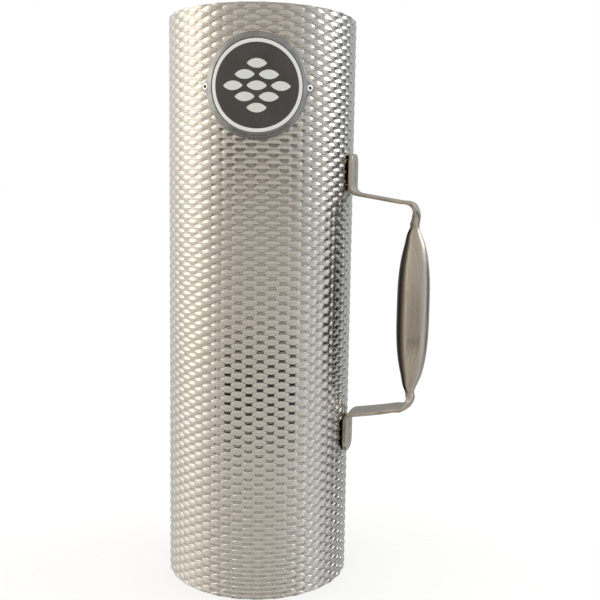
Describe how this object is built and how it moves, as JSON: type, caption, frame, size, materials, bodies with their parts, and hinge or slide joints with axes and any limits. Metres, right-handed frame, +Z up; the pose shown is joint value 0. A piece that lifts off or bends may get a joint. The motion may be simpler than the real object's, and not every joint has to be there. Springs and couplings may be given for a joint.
{
  "type": "metal guiro",
  "caption": "Hand percussion scraper: an open tube of textured stainless sheet with a pressed steel handle on its side and a round badge near its top.",
  "frame": {"origin": "on the tube's axis, in the plane of the tube's lower rim", "axes": "+Z up along the tube; the badge faces -Y; the handle stands out towards +X, 75.5 degrees round from the badge"},
  "size_m": [0.1432, 0.1031, 0.3048],
  "materials": {
    "textured_stainless": "bright rolled stainless sheet with a raised lozenge texture",
    "brushed_handle_steel": "satin stainless, brushed along the strip",
    "badge_metal": "satin grey, spun rim",
    "badge_print": "matt charcoal print with pale silver ring and ornament",
    "eyelet_metal": "bright aluminium"
  },
  "bodies": {
    "root": {"shell": "textured_stainless", "handle": "brushed_handle_steel", "badge_plate": "badge_metal", "badge_disc": "badge_print", "badge_eyelet_left": "eyelet_metal", "badge_eyelet_right": "eyelet_metal"}
  },
  "joints": []
}
